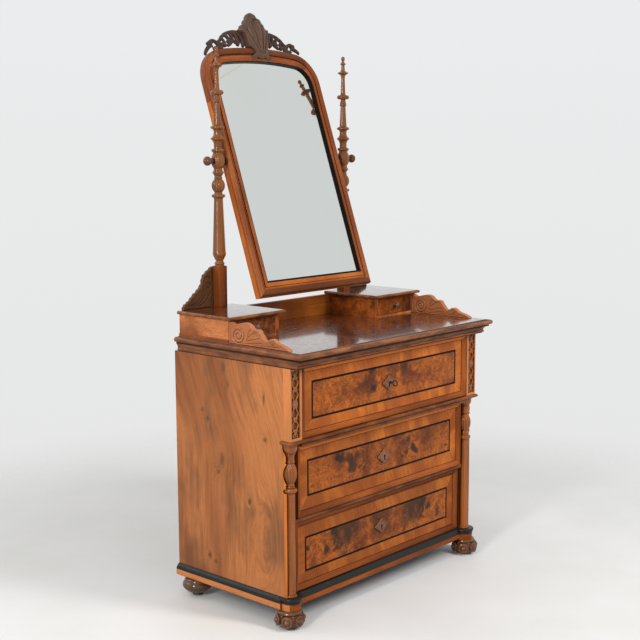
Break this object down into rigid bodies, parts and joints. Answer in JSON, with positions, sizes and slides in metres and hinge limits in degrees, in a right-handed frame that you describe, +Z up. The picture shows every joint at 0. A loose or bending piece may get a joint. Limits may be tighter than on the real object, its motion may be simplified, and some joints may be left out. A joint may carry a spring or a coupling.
{
  "type": "dresser with mirror",
  "caption": "Walnut chest of drawers with round corner columns, small drawers on its top and a tilting mirror between turned posts.",
  "frame": {"origin": "on the floor, at the middle of the underside of the box around the whole object", "axes": "+X to the right seen from the front, +Y to the back, +Z up"},
  "size_m": [1.068, 0.7486, 2.0194],
  "materials": {
    "walnut": "polished",
    "walnut_dark": "polished",
    "burl": "french polished",
    "polished_top": "high gloss",
    "ebonised": "black polish",
    "softwood": "raw",
    "mirror_glass": "silvered",
    "iron": "worn"
  },
  "bodies": {
    "case": {"base_board": "softwood", "base_moulding": "ebonised", "plinth_frame": "walnut", "front_feet": "walnut_dark", "rear_feet": "walnut_dark", "rear_glides": "iron", "corner_stiles": "softwood", "mid_moulding": "walnut_dark", "mid_rail": "softwood", "lower_rail": "walnut_dark", "drawer_runners": "softwood", "back_boards": "softwood", "pilasters": "walnut", "fretwork": "walnut", "cornice": "walnut_dark", "top_board": "polished_top", "top_bearers": "softwood", "box_boards": "walnut_dark", "back_rail": "walnut", "volute_brackets": "walnut", "wing_brackets": "walnut_dark", "pivot_washers": "iron", "side_panel_right": "walnut", "side_panel_left": "walnut", "column_right": "walnut_dark", "column_left": "walnut_dark", "box_carcass_right": "walnut", "box_carcass_left": "walnut", "post_right": "walnut_dark", "post_left": "walnut_dark"},
    "drawer_1": {"drawer_front_1": "burl", "drawer_tray_1": "softwood", "lock_case_1": "iron"},
    "drawer_2": {"drawer_front_2": "burl", "drawer_tray_2": "softwood", "lock_case_2": "iron"},
    "drawer_3": {"drawer_front_3": "burl", "drawer_tray_3": "softwood", "lock_case_3": "iron"},
    "small_drawer_left": {"small_drawer_front_left": "walnut", "small_drawer_tray_left": "softwood"},
    "small_drawer_right": {"small_drawer_front_right": "walnut", "small_drawer_tray_right": "softwood"},
    "mirror": {"mirror_stile_left": "walnut_dark", "mirror_stile_right": "walnut_dark", "mirror_top_rail": "walnut_dark", "mirror_bottom_rail": "walnut_dark", "mirror_slip": "ebonised", "mirror_glass": "mirror_glass", "mirror_backboard": "softwood", "mirror_bushes": "iron", "crest_foliage": "walnut_dark", "crest_cartouche": "walnut_dark"},
    "clamp_left": {"clamp_screw_left": "walnut_dark"},
    "clamp_right": {"clamp_screw_right": "walnut_dark"},
    "key": {"key": "iron"},
    "bolt_1": {"lock_bolt_1": "iron"},
    "bolt_2": {"lock_bolt_2": "iron"},
    "bolt_3": {"lock_bolt_3": "iron"}
  },
  "joints": [
    {"name": "drawer_1_slide", "type": "slide", "parent": "case", "child": "drawer_1", "axis": [0, -1, 0], "range_m": [0, 0.38]},
    {"name": "drawer_2_slide", "type": "slide", "parent": "case", "child": "drawer_2", "axis": [0, -1, 0], "range_m": [-0.012, 0.368]},
    {"name": "drawer_3_slide", "type": "slide", "parent": "case", "child": "drawer_3", "axis": [0, -1, 0], "range_m": [0, 0.38]},
    {"name": "small_left_slide", "type": "slide", "parent": "case", "child": "small_drawer_left", "axis": [0, -1, 0], "range_m": [0, 0.15]},
    {"name": "small_right_slide", "type": "slide", "parent": "case", "child": "small_drawer_right", "axis": [0, -1, 0], "range_m": [0, 0.15]},
    {"name": "mirror_tilt", "type": "hinge", "parent": "case", "child": "mirror", "pos_m": [0, 0.18607, 1.4865], "axis": [1, 0, 0], "range_deg": [-11, 34]},
    {"name": "clamp_left_turn", "type": "hinge", "parent": "case", "child": "clamp_left", "pos_m": [-0.375, 0.18607, 1.4865], "axis": [1, 0, 0], "continuous": true},
    {"name": "clamp_right_turn", "type": "hinge", "parent": "case", "child": "clamp_right", "pos_m": [0.375, 0.18607, 1.4865], "axis": [1, 0, 0], "continuous": true},
    {"name": "key_turn", "type": "hinge", "parent": "drawer_1", "child": "key", "pos_m": [0, -0.31193, 0.733], "axis": [0, 1, 0], "range_deg": [0, 180]},
    {"name": "bolt_1_slide", "type": "slide", "parent": "drawer_1", "child": "bolt_1", "axis": [0, 0, 1], "range_m": [0, 0.008]},
    {"name": "bolt_2_slide", "type": "slide", "parent": "drawer_2", "child": "bolt_2", "axis": [0, 0, 1], "range_m": [0, 0.008]},
    {"name": "bolt_3_slide", "type": "slide", "parent": "drawer_3", "child": "bolt_3", "axis": [0, 0, 1], "range_m": [0, 0.008]}
  ],
  "couplings": [
    {"joint": "key_turn", "follows": "bolt_1_slide", "rad_per_m": 392.7}
  ]
}
